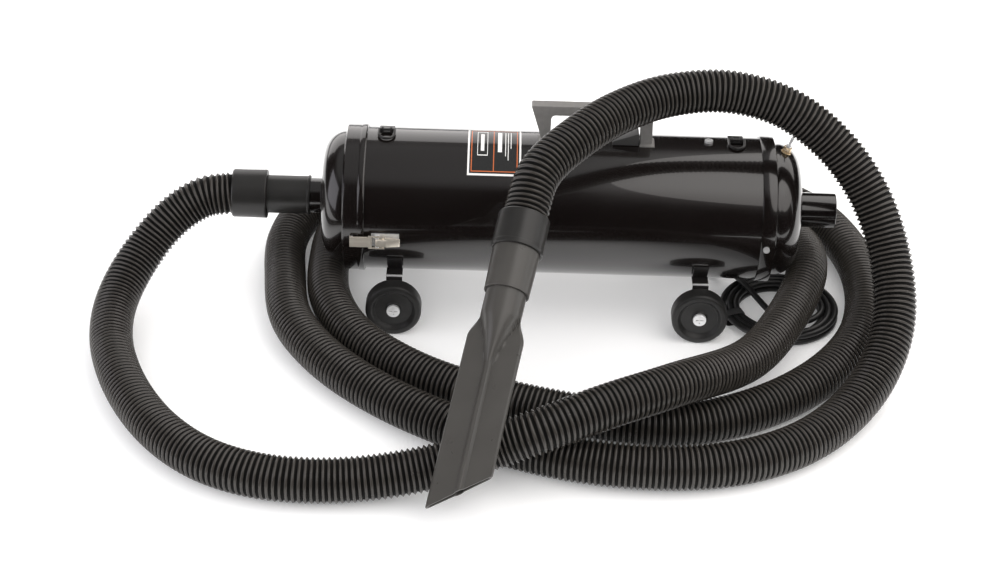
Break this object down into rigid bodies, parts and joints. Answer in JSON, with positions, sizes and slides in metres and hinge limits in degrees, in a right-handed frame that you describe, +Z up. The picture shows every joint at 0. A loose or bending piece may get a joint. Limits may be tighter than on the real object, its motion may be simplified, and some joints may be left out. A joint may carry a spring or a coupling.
{
  "type": "pet dryer",
  "caption": "Horizontal canister blower on four wheels with a top handle, draw latches, a corrugated hose with a crevice nozzle, and a power cord.",
  "frame": {"origin": "centre of the canister's footprint on the floor, halfway between the two port ends and between the front and rear wheels, the floor being z = 0", "axes": "+X along the canister towards the outlet tube and the switch, +Y towards the rear side where the power cord leaves, +Z up"},
  "size_m": [0.8534, 0.6709, 0.2854],
  "materials": {
    "black_enamel": "gloss",
    "satin_black_steel": "satin",
    "cast_handle": "satin",
    "black_plastic": "satin",
    "charcoal_plastic": "satin",
    "hose_vinyl": "satin",
    "wheel_rubber": "satin",
    "cord_rubber": "satin",
    "gasket_rubber": "matte",
    "bright_nickel": "polished",
    "zinc_steel": "satin",
    "brass": "polished",
    "chrome": "polished",
    "formed_aluminium": "satin",
    "core_steel": "satin",
    "copper_winding": "satin",
    "carbon": "matte",
    "filter_cloth": "matte",
    "label_vinyl": "gloss"
  },
  "bodies": {
    "canister": {"casing": "black_enamel", "intake_cap": "black_enamel", "exhaust_cap": "black_enamel", "cap_gaskets": "gasket_rubber", "inlet_tube": "black_enamel", "outlet_tube": "black_enamel", "filter_bag": "filter_cloth", "motor_mounts": "gasket_rubber", "mount_plate": "zinc_steel", "rear_support": "zinc_steel", "fan_shell": "formed_aluminium", "diffuser_plate": "formed_aluminium", "fan_back_plate": "formed_aluminium", "motor_frame": "formed_aluminium", "stator_core": "core_steel", "field_coils": "copper_winding", "shaft_bearings": "zinc_steel", "brush_holders": "brass", "carbon_brushes": "carbon", "through_bolts": "zinc_steel", "handle": "cast_handle", "handle_fairing": "black_plastic", "handle_screws": "zinc_steel", "switch_body": "black_plastic", "switch_nut": "brass", "strap_brackets": "satin_black_steel", "latch_bases": "zinc_steel", "latch_keepers": "zinc_steel", "wheel_brackets": "satin_black_steel", "axle_screws": "zinc_steel", "casing_screws": "zinc_steel", "label_plate": "label_vinyl", "strain_relief": "black_plastic", "cord_lead": "cord_rubber", "cord_coil": "cord_rubber", "cord_tail": "cord_rubber", "plug_body": "black_plastic", "plug_blades": "zinc_steel", "hose_adapter": "charcoal_plastic", "hose_cuff": "charcoal_plastic", "hose": "hose_vinyl", "nozzle_cuff": "charcoal_plastic", "nozzle_adapter": "charcoal_plastic", "crevice_nozzle": "charcoal_plastic"},
    "rotor": {"motor_shaft": "zinc_steel", "impeller_first": "formed_aluminium", "impeller_second": "formed_aluminium", "armature": "copper_winding", "commutator": "copper_winding"},
    "switch_lever": {"switch_lever": "chrome"},
    "strap_ring_left": {"strap_ring_left": "satin_black_steel"},
    "strap_ring_right": {"strap_ring_right": "satin_black_steel"},
    "latch_front_lever": {"latch_front_lever": "bright_nickel"},
    "latch_front_bail": {"latch_front_bail": "bright_nickel"},
    "latch_rear_lever": {"latch_rear_lever": "bright_nickel"},
    "latch_rear_bail": {"latch_rear_bail": "bright_nickel"},
    "wheel_front_left": {"wheel_front_left": "wheel_rubber"},
    "wheel_front_right": {"wheel_front_right": "wheel_rubber"},
    "wheel_rear_left": {"wheel_rear_left": "wheel_rubber"},
    "wheel_rear_right": {"wheel_rear_right": "wheel_rubber"}
  },
  "joints": [
    {"name": "wheel_front_left_roll", "type": "hinge", "parent": "canister", "child": "wheel_front_left", "pos_m": [-0.172, -0.0847, 0.0296], "axis": [0, 1, 0], "continuous": true},
    {"name": "wheel_front_right_roll", "type": "hinge", "parent": "canister", "child": "wheel_front_right", "pos_m": [0.152, -0.0847, 0.0296], "axis": [0, 1, 0], "continuous": true},
    {"name": "wheel_rear_left_roll", "type": "hinge", "parent": "canister", "child": "wheel_rear_left", "pos_m": [-0.172, 0.0847, 0.0296], "axis": [0, 1, 0], "continuous": true},
    {"name": "wheel_rear_right_roll", "type": "hinge", "parent": "canister", "child": "wheel_rear_right", "pos_m": [0.152, 0.0847, 0.0296], "axis": [0, 1, 0], "continuous": true},
    {"name": "rotor_spin", "type": "hinge", "parent": "canister", "child": "rotor", "pos_m": [0.05, 0, 0.114], "axis": [1, 0, 0], "continuous": true},
    {"name": "switch_throw", "type": "hinge", "parent": "canister", "child": "switch_lever", "pos_m": [0.23946, 0, 0.18951], "axis": [-0.9613, 0, 0.2756], "range_deg": [0, 24]},
    {"name": "strap_ring_left_swing", "type": "hinge", "parent": "canister", "child": "strap_ring_left", "pos_m": [-0.184, 0.00587, 0.19339], "axis": [-1, 0, 0], "range_deg": [0, 150]},
    {"name": "strap_ring_right_swing", "type": "hinge", "parent": "canister", "child": "strap_ring_right", "pos_m": [0.185, 0.00587, 0.19339], "axis": [-1, 0, 0], "range_deg": [0, 150]},
    {"name": "latch_front_throw", "type": "hinge", "parent": "canister", "child": "latch_front_lever", "pos_m": [-0.1895, -0.08049, 0.10696], "axis": [0, 0.0872, -0.9962], "range_deg": [0, 100]},
    {"name": "latch_front_bail_swing", "type": "hinge", "parent": "latch_front_lever", "child": "latch_front_bail", "pos_m": [-0.1835, -0.08129, 0.10689], "axis": [0, 0.0872, -0.9962], "range_deg": [-100, 0]},
    {"name": "latch_rear_throw", "type": "hinge", "parent": "canister", "child": "latch_rear_lever", "pos_m": [-0.1895, 0.08049, 0.10696], "axis": [0, 0.0872, 0.9962], "range_deg": [0, 100]},
    {"name": "latch_rear_bail_swing", "type": "hinge", "parent": "latch_rear_lever", "child": "latch_rear_bail", "pos_m": [-0.1835, 0.08129, 0.10689], "axis": [0, 0.0872, 0.9962], "range_deg": [-100, 0]}
  ],
  "couplings": [
    {"joint": "latch_front_bail_swing", "follows": "latch_front_throw", "ratio": -1},
    {"joint": "latch_rear_bail_swing", "follows": "latch_rear_throw", "ratio": -1}
  ]
}
